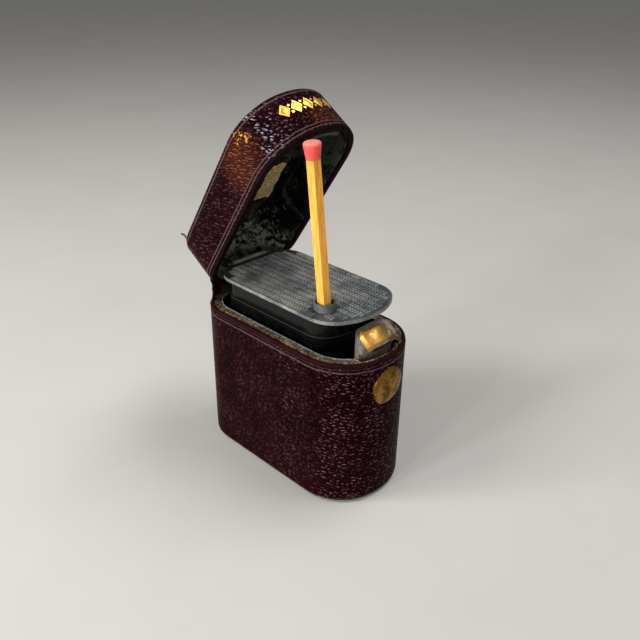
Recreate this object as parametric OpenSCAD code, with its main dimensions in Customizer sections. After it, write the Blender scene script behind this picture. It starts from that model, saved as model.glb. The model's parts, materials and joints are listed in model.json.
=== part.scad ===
// Pocket match case: a leather-covered box with a sprung, hinged lid. Inside stands a tin match
// box, closed by a ribbed striking plate that carries a socket for one standing match.
// Millimetres. +X runs from the hinge to the push button, +Z is up, and the origin is the centre
// of the base. The lid is drawn as it stands open.

/* [Case] */
// Length of the case from the hinge side to the button side
case_l = 52; // [51:0.5:54]
// Width of the case
case_w = 27.4; // [27.2:0.2:28.4]
// Height of the case to the top of its rim
case_h = 38; // [37.6:0.2:39]
// Radius of the two corners on the hinge side
back_r = 10; // [9:0.5:11]
// Radius of the two corners on the button side
front_r = 12.3; // [11.5:0.1:12.6]
// Radius of the bowed end wall between those corners
bow_r = 17.3; // [16:0.1:18]
// Thickness of the covering leather
leather_t = 0.8; // [0.6:0.1:0.9]
// Thickness of the wooden wall of the case
wall_t = 1.9; // [1.8:0.1:2]
// Thickness of the wooden floor
floor_t = 2; // [1.6:0.2:3]
// Thickness of the tinplate lining
liner_t = 0.4; // [0.3:0.05:0.5]
// Radius of the leather round the bottom edge
foot_r = 1.6; // [1.2:0.1:2]
// Width of the leather turned under the floor
turn_in = 4.2; // [3:0.2:6]
// Thickness of the soft band round the rim
band_t = 0.8; // [0.6:0.1:1]
// Radius of the band's rounded upper edges
band_r = 0.35; // [0.2:0.05:0.4]

/* [Tooling] */
// Width of the line tooled round the leather
crease_w = 0.5; // [0.3:0.1:0.7]
// Distance of the line from the rim of the case
crease_drop = 1.4; // [1.2:0.1:2]
// Distance of the upper line from the roof of the lid
lid_crease_drop = 1.9; // [1.6:0.1:2.4]
// Distance of the lower line from the mouth of the lid
mouth_crease_rise = 1.5; // [1.2:0.1:2]

/* [Lid] */
// Height of the lid from its mouth to its roof
lid_h = 12.3; // [12.2:0.1:13]
// Gap between the mouth of the lid and the rim when shut
lid_gap = 0.2; // [0.15:0.05:0.4]
// Thickness of the wood of the lid
lid_wall_t = 0.6; // [0.5:0.05:0.6]
// Thickness of the black lining of the lid
lining_t = 0.2; // [0.15:0.05:0.25]
// Radius of the leather round the roof
roof_r = 1.5; // [1.2:0.1:2]
// Width of the rounded leather lip round the mouth
lip_h = 0.8; // [0.6:0.1:1]
// Angle that the lid stands open
lid_open = 56.5; // [40:0.5:58]

/* [Lid hinge] */
// Distance of the hinge axis behind the case
axis_back = 0.3; // [0.2:0.05:0.5]
// Height of the hinge axis above the rim
axis_up = 4.6; // [4.4:0.1:5]
// Length of the hinge
hinge_w = 12; // [11:0.5:12.4]
// Radius of the knuckles
knuckle_r = 1.25; // [1.2:0.05:1.3]
// Radius of the hinge pin
pin_r = 0.4; // [0.35:0.05:0.5]
// Radial gap between the pin and the lid's knuckles
pin_gap = 0.04; // [0.02:0.01:0.08]
// Length of each outer knuckle
outer_knuckle = 2.4; // [2:0.1:2.6]
// Length of each inner knuckle
inner_knuckle = 1.9; // [1.6:0.1:2]
// Gap between one knuckle and the next
knuckle_gap = 0.15; // [0.1:0.05:0.2]
// Thickness of the hinge leaves
leaf_t = 0.4; // [0.3:0.05:0.4]
// Height of the leaf on the case below the rim
case_leaf_h = 9; // [7:0.5:12]
// Height of the leaf on the lid above the axis
lid_leaf_h = 5.2; // [4.5:0.1:5.4]
// Thickness of the spring wire
wire_t = 0.34; // [0.26:0.02:0.36]
// Turns in the hinge spring
spring_turns = 4; // [3:1:5]

/* [Match box] */
// Gap between the match box and the outside of the case on the hinge side
box_back_gap = 6.1; // [5.8:0.1:6.5]
// Gap between the match box and the outside of the case on the button side
box_front_gap = 10.6; // [10.4:0.1:11.4]
// Gap between the match box and the outside of the case along its sides
box_side_gap = 4.7; // [4.5:0.1:5.2]
// Radius of its corners on the hinge side
box_back_r = 4; // [3:0.5:5]
// Radius of its corners on the button side
box_front_r = 5; // [4:0.5:6]
// Radius of its bowed end
box_bow_r = 14; // [13:0.5:16]
// Thickness of its tin
box_t = 0.4; // [0.3:0.05:0.5]
// Height of the box above the rim of the case
box_up = 8; // [7.8:0.1:8.2]
// Depth of the tin shoulder below the rim
shoulder_drop = 1.6; // [1.4:0.1:2]

/* [Striking plate] */
// Gap between the plate and the outside of the case on the button side
plate_front_gap = 4.6; // [4.4:0.1:5]
// Gap between the plate and the outside of the case along its sides
plate_side_gap = 1.9; // [1.9:0.1:2.2]
// Radius of its corners on the hinge side
plate_back_r = 6; // [5:0.5:8]
// Radius of its corners on the button side
plate_front_r = 7.6; // [6.5:0.1:8.5]
// Radius of its bowed end
plate_bow_r = 15.9; // [14:0.1:18]
// Thickness of the plate
plate_t = 0.8; // [0.8:0.05:0.85]
// Height of the striking ribs
rib_h = 0.2; // [0.1:0.05:0.25]
// Distance from one rib to the next
rib_pitch = 0.9; // [0.9:0.1:1.4]
// Plain margin round the ribs
rib_margin = 2.2; // [1.8:0.2:4]
// Height of the flange under the plate
flange_h = 1.2; // [0.8:0.1:1.6]
// Gap between that flange and the box
flange_gap = 0.15; // [0.1:0.05:0.2]

/* [Standing match] */
// Distance of the socket behind the front end of the plate
socket_front_gap = 9.3; // [9:0.1:9.8]
// Distance of the socket from the side of the plate
socket_side_gap = 5.4; // [5:0.1:5.8]
// Radius of the socket
socket_r = 2.5; // [2.4:0.05:2.6]
// Radius of its bore
socket_bore_r = 2.05; // [2:0.05:2.2]
// Height of the socket above the plate
socket_h = 1.8; // [1.6:0.05:1.85]
// Depth of the socket in the plate
socket_sink = 0.6; // [0.4:0.05:0.6]
// Side of the square match stick
stick_t = 2.05; // [1.8:0.05:2.1]
// Length of the match
match_l = 36.9; // [34:0.1:38]
// Length of the match head
head_l = 3.5; // [3:0.1:4.5]
// Radius of the match head
head_r = 1.85; // [1.7:0.01:1.9]

/* [Push button and catch] */
// Radius of the button
button_r = 4.6; // [4.2:0.1:4.8]
// Height of the dome of the button
dome_h = 1.3; // [1:0.1:1.6]
// Distance of the button below the rim
button_drop = 7.6; // [7.4:0.1:8.5]
// Travel of the button and the catch
press = 1.2; // [1:0.05:1.2]
// Radius of the button's shank
shank_r = 1.5; // [1.2:0.1:1.6]
// Radial gap between the shank and its bush
shank_gap = 0.05; // [0.03:0.01:0.08]
// Width of the catch
catch_w = 11.2; // [10.4:0.2:12]
// Depth of the catch from back to front
catch_l = 4.6; // [4.4:0.1:5]
// Height of the front edge of the catch above the rim
catch_up = 1.9; // [1.8:0.05:2.1]
// Slope of the top of the catch
catch_slope = 37; // [28:1:38]
// Depth of the nose that holds the lid
nose_d = 0.9; // [0.8:0.05:1]
// Thickness of the catch spring
spring_t = 0.4; // [0.3:0.05:0.4]
// Width of the catch spring
spring_w = 7; // [6:0.5:8]

/* [Hidden] */
$fn = 72;

// Length that a cutting shape runs past what it cuts
over = 1;

// Places of the match box, its plate and the socket, from the outside of the case
box_back = case_l / 2 - box_back_gap;
box_front = case_l / 2 - box_front_gap;
box_w = case_w - 2 * box_side_gap;
plate_front = case_l / 2 - plate_front_gap;
plate_w = case_w - 2 * plate_side_gap;
socket_x = plate_front - socket_front_gap;
socket_side = plate_w / 2 - socket_side_gap;

// An outline is [back x, front x, half width, back radius, front radius, bow radius]
case_plan = [-case_l / 2, case_l / 2, case_w / 2, back_r, front_r, bow_r];
box_plan = [-box_back, box_front, box_w / 2, box_back_r, box_front_r, box_bow_r];
plate_plan = [-box_back, plate_front, plate_w / 2, plate_back_r, plate_front_r, plate_bow_r];

function bow_x(s) = s[1] - s[5];
function bow_angle(s) = asin((s[2] - s[4]) / (s[5] - s[4]));
function front_x(s) = bow_x(s) + (s[5] - s[4]) * cos(bow_angle(s));
function front_y(s) = s[2] - s[4];
function back_x(s) = s[0] + s[3];
function back_y(s) = s[2] - s[3];

// Insets from the outside of the case to each layer
liner_in = leather_t + wall_t;
inside_in = liner_in + liner_t;
pocket_in = 1.3;
nose_in = 2.2;
lid_inside_in = leather_t + lid_wall_t + lining_t;

// Heights of the case
floor_z = leather_t + floor_t;
band_z = case_h - band_t;
band_in = 0.1;
liner_z = case_h;
shoulder_z = case_h - shoulder_drop;
pocket_z = case_h - 2.2;
box_z = case_h + box_up;
plate_z = box_z + plate_t;
hinge_x = -case_l / 2 - axis_back;
hinge_z = case_h + axis_up;
button_z = case_h - button_drop;

// Heights of the lid when shut
mouth_z = case_h + lid_gap;
lip_z = mouth_z + lip_h;
roof_z = mouth_z + lid_h;
lid_inside_z = roof_z - lid_inside_in;
lid_inner_r = min(roof_r - leather_t, lid_wall_t);

// Hinge
leaf_x = -case_l / 2 + leather_t;
notch_w = hinge_w + 0.8;
notch_r = knuckle_r + 0.3;
notch_x = leaf_x + leaf_t + 0.9;
notch_z = hinge_z + 1.3;
blade_w = 2 * back_y(case_plan);
rivet_r = 0.6;
rivet_side = 0.65 * back_y(case_plan);
rivet_z = case_h - case_leaf_h + 2.5;
web_up = 0.3;
web_h = 0.95;
lid_rivet_side = 2.6;
lid_rivet_z = hinge_z + 3.6;

// Striking plate hinge
striker_knuckle_r = 0.55;
striker_x = -box_back - striker_knuckle_r;
striker_z = plate_z + 0.05;
striker_w = 13;
striker_pin_r = 0.25;
striker_middle = 10.6;
striker_leaf_h = 5;

// Catch and button
catch_x = case_l / 2 - nose_in;
catch_back = catch_x - catch_l;
catch_z = case_h + catch_up;
nose_z = catch_z - 0.8;
keeper_z = nose_z - 0.6;
keeper_t = 0.35;
keeper_w = 9.6;
keeper_foot = 0.2;
keeper_h = 4.2;
keeper_lip_t = 0.4;
keeper_reach = 0.5;
stem_h = 3.2;
catch_foot = shoulder_z - 0.2;
catch_corner_r = 2.4;
catch_rivet_r = 0.5;
catch_rivet_side = 2;
catch_rivet_z = catch_foot - 1.6;
spring_x = catch_back + 1.4;
counterbore_x = case_l / 2 - 2;
counterbore_r = button_r + 0.2;
button_back = counterbore_x + press + 0.1;
button_rim_t = 0.6;
shank_end = spring_x + spring_t + 0.15;
bush_x = case_l / 2 - inside_in - 0.9;
bush_r = 2.2;
collar_r = 2.2;
clamp_h = 6;

// Wedge that the bowed end fills, seen from the centre of the bow
module bow_wedge(s) {
    bow = bow_angle(s);
    reach = 2 * s[5];
    polygon([
        [bow_x(s), 0],
        [bow_x(s) + reach * cos(bow), -reach * sin(bow)],
        [bow_x(s) + reach * cos(bow), reach * sin(bow)]
    ]);
}

// Area inside an outline, larger by g
module plan(s, g = 0) {
    bow = bow_angle(s);
    for (side = [-1, 1]) {
        translate([back_x(s), side * back_y(s)]) circle(r = s[3] + g);
        translate([front_x(s), side * front_y(s)]) circle(r = s[4] + g);
    }
    intersection() {
        translate([bow_x(s), 0]) circle(r = s[5] + g, $fn = 144);
        bow_wedge(s);
    }
    polygon([
        [s[0] - g, -back_y(s)], [back_x(s), -s[2] - g], [front_x(s), -s[2] - g],
        [bow_x(s) + (s[5] + g) * cos(bow), -(s[5] + g) * sin(bow)],
        [bow_x(s) + (s[5] + g) * cos(bow), (s[5] + g) * sin(bow)],
        [front_x(s), s[2] + g], [back_x(s), s[2] + g], [s[0] - g, back_y(s)]
    ]);
}

// Sweeps an upright profile round an outline; the profile's x runs outwards from the outline
module around(s) {
    for (side = [0, 1]) mirror([0, side, 0]) {
        translate([back_x(s), s[2], 0]) rotate([90, 0, 90])
            linear_extrude(front_x(s) - back_x(s)) children();
        translate([back_x(s), back_y(s), 0]) rotate([0, 0, 90])
            rotate_extrude(angle = 90) translate([s[3], 0]) children();
        difference() {
            translate([front_x(s), front_y(s), 0])
                rotate_extrude(angle = 90) translate([s[4], 0]) children();
            translate([0, 0, -over]) linear_extrude(case_l) bow_wedge(s);
        }
    }
    translate([s[0], -back_y(s), 0]) rotate([90, 0, 180])
        linear_extrude(2 * back_y(s)) children();
    intersection() {
        translate([bow_x(s), 0, 0]) rotate([0, 0, -90])
            rotate_extrude(angle = 180, $fn = 144) translate([s[5], 0]) children();
        translate([0, 0, -over]) linear_extrude(case_l) bow_wedge(s);
    }
}

// Upright block inside the outline, with its lower outer corner rounded
module footed(inset, depth, low, high, r) {
    translate([-inset, low]) difference() {
        translate([-depth, 0]) square([depth, high - low]);
        translate([-r, 0]) difference() {
            square(r);
            translate([0, r]) circle(r = r);
        }
    }
}

// Block with both of its upper corners rounded
module pillow(inner, outer, low, high, r) {
    translate([-inner, low]) square([inner - outer, high - low - r]);
    translate([-inner + r, low]) square([inner - outer - 2 * r, high - low]);
    for (x = [-inner + r, -outer - r]) translate([x, high - r]) circle(r = r);
}

// Slab of an outline between two heights
module slab(s, g, low, high) {
    translate([0, 0, low]) linear_extrude(high - low) plan(s, g);
}

// Box given by its low and high corners
module block(low, high) {
    translate(low) cube(high - low);
}

module rod(r, low_y, high_y, x, z) {
    translate([x, high_y, z]) rotate([90, 0, 0]) cylinder(r = r, h = high_y - low_y);
}

module bar(r, low_x, high_x, y, z) {
    translate([low_x, y, z]) rotate([0, 90, 0]) cylinder(r = r, h = high_x - low_x);
}

// Room in the end wall for the catch, open at the rim
module catch_pocket(low) {
    intersection() {
        slab(case_plan, -pocket_in, low, case_h + over);
        block([catch_back - press - 0.4, -catch_w / 2 - 0.8, low],
            [case_l, catch_w / 2 + 0.8, case_h + over]);
    }
}

// Strip of the back wall that the hinge leaf takes up
module hinge_slot(width, low, high) {
    block([-case_l, -width / 2, low], [leaf_x + leaf_t, width / 2, high]);
}

// Holes for the rivets of the hinge leaf
module leaf_rivets(r, low_x, high_x) {
    for (side = [-1, 1]) bar(r, low_x, high_x, side * rivet_side, rivet_z);
}

// The same for the leaf of the lid, in the lid as it is when shut
module lid_leaf_rivets(r, low_x, high_x) {
    for (side = [-1, 1]) bar(r, low_x, high_x, side * lid_rivet_side, lid_rivet_z);
}

// Case, all of it fixed
module base_leather() {
    color([0.24, 0.05, 0.05]) slab(case_plan, -turn_in, 0, leather_t);
}

module case_leather() {
    color([0.3, 0.05, 0.06]) difference() {
        around(case_plan) difference() {
            footed(0, turn_in, 0, band_z, foot_r);
            footed(leather_t, turn_in, leather_t, band_z + over, foot_r - leather_t);
            translate([0.05, case_h - crease_drop]) circle(d = crease_w, $fn = 24);
        }
        bar(counterbore_r, counterbore_x, case_l, 0, button_z);
    }
}

module case_core() {
    color([0.55, 0.4, 0.25]) difference() {
        union() {
            around(case_plan) footed(leather_t, wall_t, leather_t, band_z, foot_r - leather_t);
            slab(case_plan, -leather_t - foot_r, leather_t, floor_z);
        }
        hinge_slot(blade_w, case_h - case_leaf_h, case_h);
        catch_pocket(pocket_z);
        bar(counterbore_r, counterbore_x, case_l, 0, button_z);
        bar(bush_r, 0, case_l, 0, button_z);
        leaf_rivets(rivet_r, -case_l, 0);
    }
}

module rim_band() {
    color([0.42, 0.27, 0.18]) difference() {
        around(case_plan) pillow(liner_in, band_in, band_z, case_h, band_r);
        hinge_slot(hinge_w, band_z - over, case_h + over);
        catch_pocket(band_z - over);
    }
}

module case_liner() {
    color([0.1, 0.1, 0.09]) difference() {
        slab(case_plan, -liner_in, floor_z, liner_z);
        slab(case_plan, -inside_in, floor_z - over, liner_z + over);
        catch_pocket(pocket_z);
        bar(bush_r, 0, case_l, 0, button_z);
        leaf_rivets(rivet_r, -case_l, 0);
    }
}

module shoulder_plate() {
    color([0.08, 0.08, 0.08]) difference() {
        slab(case_plan, -inside_in, shoulder_z - liner_t, shoulder_z);
        slab(box_plan, 0, 0, case_h);
        block([catch_back - press - 0.4, -catch_w / 2 - 0.5, 0],
            [case_l, catch_w / 2 + 0.5, case_h]);
    }
}

// Inner match box and its striking plate
module match_box() {
    color([0.07, 0.07, 0.07]) difference() {
        slab(box_plan, 0, floor_z, box_z);
        slab(box_plan, -box_t, floor_z + box_t, box_z + over);
    }
}

module ribs() {
    first = -box_back + rib_margin + 0.6;
    last = plate_front - rib_margin - 0.6;
    intersection() {
        for (x = [first : rib_pitch : last])
            translate([x, plate_w / 2, plate_z]) rotate([90, 0, 0])
                linear_extrude(plate_w) polygon([[-rib_h, -0.05], [rib_h, -0.05], [0, rib_h]]);
        slab(plate_plan, -rib_margin, plate_z - over, plate_z + over);
    }
}

module striking_plate() {
    color([0.62, 0.66, 0.62]) difference() {
        union() {
            slab(plate_plan, 0, box_z, plate_z);
            ribs();
            for (side = [0, 1]) mirror([0, side, 0]) {
                rod(striker_knuckle_r, striker_middle / 2 + knuckle_gap, striker_w / 2,
                    striker_x, striker_z);
                block([striker_x, striker_middle / 2 + knuckle_gap, box_z + 0.2],
                    [-box_back + 0.5, striker_w / 2, plate_z]);
            }
            difference() {
                slab(box_plan, -box_t - flange_gap, box_z - flange_h, box_z + 0.1);
                slab(box_plan, -2 * box_t - flange_gap, 0, box_z);
            }
        }
        rod(striker_pin_r, -striker_w, striker_w, striker_x, striker_z);
        translate([socket_x, -socket_side, plate_z - socket_sink])
            cylinder(r = socket_r, h = plate_t + rib_h);
    }
}

module striker_leaf() {
    half = striker_middle / 2;
    color([0.72, 0.7, 0.62]) difference() {
        union() {
            rod(striker_knuckle_r, -half, half, striker_x, striker_z);
            block([-box_back - leaf_t, -half, striker_z - striker_leaf_h],
                [-box_back, half, striker_z]);
        }
        rod(striker_pin_r, -striker_w, striker_w, striker_x, striker_z);
    }
}

module striker_pin() {
    color([0.7, 0.68, 0.6]) rod(striker_pin_r, -striker_w / 2, striker_w / 2, striker_x, striker_z);
}

module match_socket() {
    color([0.66, 0.68, 0.6]) translate([socket_x, -socket_side, plate_z - socket_sink])
        difference() {
            cylinder(r = socket_r, h = socket_sink + socket_h);
            translate([0, 0, 0.15]) cylinder(r = socket_bore_r, h = socket_sink + socket_h);
            translate([0, 0, socket_sink + socket_h - 0.25])
                cylinder(r1 = socket_bore_r, r2 = socket_bore_r + 0.25, h = 0.26);
        }
}

// Lid hinge, with its axis behind the case and above the rim
module knuckle(low_y, high_y, bore_r, way) {
    low = way > 0 ? web_up : -web_up - web_h;
    difference() {
        union() {
            rod(knuckle_r, low_y, high_y, hinge_x, hinge_z);
            block([hinge_x, low_y, hinge_z + low], [leaf_x + leaf_t, high_y, hinge_z + low + web_h]);
        }
        rod(bore_r, low_y - over, high_y + over, hinge_x, hinge_z);
    }
}

module case_hinge_leaf() {
    color([0.7, 0.56, 0.3]) {
        difference() {
            block([leaf_x, -blade_w / 2, case_h - case_leaf_h],
                [leaf_x + leaf_t, blade_w / 2, case_h]);
            leaf_rivets(rivet_r, -case_l, 0);
        }
        block([leaf_x, -hinge_w / 2, band_z],
            [leaf_x + leaf_t, hinge_w / 2, hinge_z - web_up - web_h]);
        for (side = [0, 1]) mirror([0, side, 0])
            knuckle(hinge_w / 2 - outer_knuckle, hinge_w / 2, pin_r, -1);
    }
}

module hinge_rivets() {
    inner_x = -case_l / 2 + inside_in;
    color([0.7, 0.56, 0.3]) {
        leaf_rivets(rivet_r, leaf_x, inner_x);
        leaf_rivets(rivet_r + 0.5, inner_x, inner_x + 0.3);
    }
}

module hinge_flap() {
    color([0.26, 0.12, 0.08]) block([-case_l / 2, -hinge_w / 2, band_z],
        [leaf_x, hinge_w / 2, hinge_z - knuckle_r - 0.1]);
}

module hinge_pin() {
    color([0.62, 0.6, 0.55]) rod(pin_r, -hinge_w / 2 - 0.2, hinge_w / 2 + 0.2, hinge_x, hinge_z);
}

// Round wire along a path of points, closed at both ends
module wire(path, r, sides = 8) {
    last = len(path) - 1;
    function along(i) = path[min(i + 1, last)] - path[max(i - 1, 0)];
    function across(i) = let (d = along(i), c = cross(d, [0.3, 1, 0.2])) c / norm(c);
    rings = [for (i = [0 : last], k = [0 : sides - 1])
        let (d = along(i) / norm(along(i)), a = across(i), b = cross(d, a))
        path[i] + r * (cos(360 * k / sides) * a + sin(360 * k / sides) * b)];
    walls = [for (i = [0 : last - 1], k = [0 : sides - 1])
        let (n = (k + 1) % sides)
        [i * sides + k, i * sides + n, (i + 1) * sides + n, (i + 1) * sides + k]];
    caps = [[for (k = [sides - 1 : -1 : 0]) k], [for (k = [0 : sides - 1]) last * sides + k]];
    polyhedron(points = rings, faces = concat(walls, caps));
}

// Point of the lid's back, given from the hinge axis with the lid shut, where the lid stands open
function lid_point(x, y, z) = [
    hinge_x + x * cos(lid_open) - z * sin(lid_open), y,
    hinge_z + x * sin(lid_open) + z * cos(lid_open)
];

// Torsion spring round the pin: one leg lies inside the leaf of the case, the other in the lid
module hinge_spring() {
    steps = 16;
    room = hinge_w / 2 - outer_knuckle - knuckle_gap - inner_knuckle - knuckle_gap;
    coil_r = pin_r + wire_t / 2 + 0.08;
    half = room - wire_t / 2 - 0.05;
    turn = 360 * spring_turns - 90 + lid_open;
    count = floor(turn / 360 * steps);
    leaf_in = leaf_x + leaf_t + wire_t / 2 + 0.05;
    lid_in = lid_inside_in - case_l / 2 + wire_t / 2 + 0.05 - hinge_x;
    coil = [for (i = [0 : count])
        let (a = turn * i / count, y = -half + 2 * half * i / count)
        [hinge_x + coil_r * cos(a), y, hinge_z + coil_r * sin(a)]];
    low_leg = [[leaf_in, -half, hinge_z - 3.4], [leaf_in, -half, hinge_z - 0.9]];
    high_leg = [lid_point(lid_in - 0.5, half, -coil_r), lid_point(lid_in, half, 0.2),
        lid_point(lid_in, half, 3)];
    color([0.55, 0.55, 0.56]) wire(concat(low_leg, coil, high_leg), wire_t / 2);
}

// Push button, its bush, the catch and the spring that carries it
module button_bush() {
    color([0.66, 0.52, 0.26]) difference() {
        union() {
            bar(bush_r, bush_x, counterbore_x, 0, button_z);
            bar(bush_r + 0.6, bush_x, bush_x + 0.3, 0, button_z);
        }
        bar(shank_r + shank_gap, bush_x - over, case_l, 0, button_z);
    }
}

module push_button() {
    dome_r = (button_r * button_r + dome_h * dome_h) / (2 * dome_h);
    color([0.78, 0.6, 0.28]) {
        bar(shank_r, shank_end, button_back + 0.1, 0, button_z);
        bar(button_r, button_back, button_back + button_rim_t, 0, button_z);
        intersection() {
            translate([button_back + button_rim_t + dome_h - dome_r, 0, button_z])
                rotate([0, 90, 0]) sphere(r = dome_r, $fn = 120);
            bar(button_r, button_back + button_rim_t - 0.05, case_l, 0, button_z);
        }
    }
}

module button_collar() {
    color([0.66, 0.52, 0.26]) difference() {
        bar(collar_r, shank_end + 0.15, shank_end + 0.6, 0, button_z);
        bar(shank_r, 0, case_l, 0, button_z);
    }
}

module catch_rivet_row(low_x, high_x) {
    for (side = [-1, 1]) bar(catch_rivet_r, low_x, high_x, side * catch_rivet_side, catch_rivet_z);
}

module catch_head() {
    top = catch_z + catch_l * tan(catch_slope);
    low = catch_foot - stem_h;
    back = catch_back + catch_corner_r;
    side_y = catch_w / 2 - catch_corner_r;
    color([0.76, 0.6, 0.26]) difference() {
        intersection() {
            translate([0, catch_w / 2, 0]) rotate([90, 0, 0]) linear_extrude(catch_w) polygon([
                [catch_back, low], [spring_x, low], [spring_x, catch_foot], [catch_x, catch_foot],
                [catch_x, catch_z], [catch_back, top]
            ]);
            slab(case_plan, -nose_in, 0, roof_z);
            translate([0, 0, low - over]) linear_extrude(roof_z) {
                for (side = [-1, 1]) translate([back, side * side_y]) circle(r = catch_corner_r);
                translate([catch_back, -side_y]) square([case_l, 2 * side_y]);
                translate([back, -catch_w / 2]) square([case_l, catch_w]);
            }
        }
        difference() {
            slab(case_plan, 0, 0, nose_z);
            slab(case_plan, -nose_in - nose_d, -over, nose_z + over);
        }
        catch_rivet_row(0, spring_x + over);
    }
}

module catch_spring() {
    color([0.5, 0.5, 0.5]) difference() {
        block([spring_x, -spring_w / 2, floor_z + 0.6],
            [spring_x + spring_t, spring_w / 2, catch_foot]);
        catch_rivet_row(0, spring_x + over);
    }
}

module catch_rivets() {
    color([0.76, 0.6, 0.26]) catch_rivet_row(catch_back, spring_x + spring_t);
}

module spring_clamp() {
    color([0.45, 0.43, 0.4]) intersection() {
        slab(case_plan, -inside_in, 0, case_h);
        block([spring_x + spring_t, -spring_w / 2, floor_z], [case_l, spring_w / 2, floor_z + clamp_h]);
    }
}

// Standing match, leaning a little towards the hinge and the viewer
module leaning() {
    translate([socket_x + 0.23, -socket_side - 0.23, plate_z - socket_sink + 0.3])
        rotate([3.4, -3.5, 0]) children();
}

module match_stick() {
    color([0.93, 0.7, 0.3]) leaning() translate([-stick_t / 2, -stick_t / 2, 0])
        cube([stick_t, stick_t, match_l - 1]);
}

module match_head() {
    neck_r = stick_t / sqrt(2) + 0.02;
    crown_r = 0.6;
    color([0.85, 0.33, 0.28]) leaning() difference() {
        translate([0, 0, match_l - head_l]) rotate_extrude() {
            polygon([[0, 0], [neck_r, 0], [head_r, head_l - crown_r], [0, head_l - crown_r]]);
            translate([0, head_l - crown_r - 0.01]) square([head_r - crown_r, crown_r + 0.01]);
            intersection() {
                translate([head_r - crown_r, head_l - crown_r]) circle(r = crown_r, $fn = 32);
                translate([0, head_l - crown_r - 0.01]) square([head_r, crown_r + 0.01]);
            }
        }
        translate([-stick_t / 2, -stick_t / 2, 0]) cube([stick_t, stick_t, match_l - 1]);
    }
}

// Lid, drawn shut and then turned open about the hinge
module opened() {
    translate([hinge_x, 0, hinge_z]) rotate([0, -lid_open, 0])
        translate([-hinge_x, 0, -hinge_z]) children();
}

module lid_notch() {
    rod(notch_r, -notch_w / 2, notch_w / 2, hinge_x, hinge_z);
    block([-case_l, -notch_w / 2, mouth_z - over], [notch_x, notch_w / 2, notch_z]);
}

// Turns a profile drawn from the roof down into one that stands under the roof
module hanging() {
    translate([0, 0, roof_z]) mirror([0, 0, 1]) children();
}

module lid_leather() {
    depth = roof_z - lip_z;
    color([0.3, 0.05, 0.06]) opened() difference() {
        union() {
            hanging() around(case_plan) difference() {
                footed(0, 3, 0, depth, roof_r);
                footed(leather_t, 3, leather_t, depth + over, lid_inner_r);
                translate([0.05, lid_crease_drop]) circle(d = crease_w, $fn = 24);
                translate([0.05, lid_h - mouth_crease_rise]) circle(d = crease_w, $fn = 24);
            }
            slab(case_plan, -3, roof_z - leather_t, roof_z);
        }
        lid_notch();
    }
}

module lid_core() {
    depth = roof_z - lip_z;
    color([0.5, 0.36, 0.24]) opened() difference() {
        union() {
            hanging() around(case_plan)
                footed(leather_t, lid_wall_t, leather_t, depth, lid_inner_r);
            slab(case_plan, -leather_t - lid_wall_t, roof_z - leather_t - lid_wall_t,
                roof_z - leather_t);
        }
        lid_notch();
        block([-case_l, -inner_knuckle - hinge_w / 4, hinge_z],
            [leaf_x + leaf_t, inner_knuckle + hinge_w / 4, hinge_z + lid_leaf_h]);
        lid_leaf_rivets(rivet_r / 2, -case_l, 0);
    }
}

module lid_lining() {
    color([0.06, 0.06, 0.06]) opened() difference() {
        slab(case_plan, lining_t - lid_inside_in, lip_z, lid_inside_z + lining_t);
        slab(case_plan, -lid_inside_in, lip_z - over, lid_inside_z);
        lid_notch();
        lid_leaf_rivets(rivet_r / 2, -case_l, 0);
    }
}

module lid_lip() {
    color([0.34, 0.16, 0.12]) opened() difference() {
        translate([0, 0, lip_z + mouth_z]) mirror([0, 0, 1]) around(case_plan)
            pillow(lid_inside_in, band_in, mouth_z, lip_z, band_r);
        lid_notch();
    }
}

module lid_keeper() {
    color([0.5, 0.48, 0.42]) opened() intersection() {
        union() {
            difference() {
                slab(case_plan, -lid_inside_in, keeper_z - keeper_foot, keeper_z + keeper_h);
                slab(case_plan, -lid_inside_in - keeper_t, 0, roof_z);
            }
            difference() {
                slab(case_plan, -lid_inside_in, keeper_z, keeper_z + keeper_lip_t);
                slab(case_plan, -nose_in - keeper_reach, 0, roof_z);
            }
        }
        block([0, -keeper_w / 2, 0], [case_l, keeper_w / 2, roof_z]);
    }
}

module lid_hinge_leaf() {
    inner = hinge_w / 2 - outer_knuckle - knuckle_gap;
    color([0.7, 0.56, 0.3]) opened() {
        for (side = [0, 1]) mirror([0, side, 0])
            knuckle(inner - inner_knuckle, inner, pin_r + pin_gap, 1);
        difference() {
            block([leaf_x, -inner, hinge_z + web_up], [leaf_x + leaf_t, inner, hinge_z + lid_leaf_h]);
            lid_leaf_rivets(rivet_r / 2, -case_l, 0);
        }
    }
}

module lid_rivets() {
    inner_x = -case_l / 2 + lid_inside_in;
    color([0.7, 0.56, 0.3]) opened() {
        lid_leaf_rivets(rivet_r / 2, leaf_x, inner_x);
        lid_leaf_rivets(rivet_r, inner_x, inner_x + 0.25);
    }
}

base_leather();
case_leather();
case_core();
rim_band();
case_liner();
shoulder_plate();
match_box();
striking_plate();
striker_leaf();
striker_pin();
match_socket();
case_hinge_leaf();
hinge_rivets();
hinge_flap();
hinge_pin();
hinge_spring();
button_bush();
spring_clamp();
push_button();
button_collar();
catch_head();
catch_spring();
catch_rivets();
match_stick();
match_head();
lid_leather();
lid_core();
lid_lining();
lid_lip();
lid_keeper();
lid_hinge_leaf();
lid_rivets();
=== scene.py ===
import json
import math
from bisect import bisect_right
from functools import reduce

import bpy
from mathutils import Matrix, Vector, noise


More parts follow.
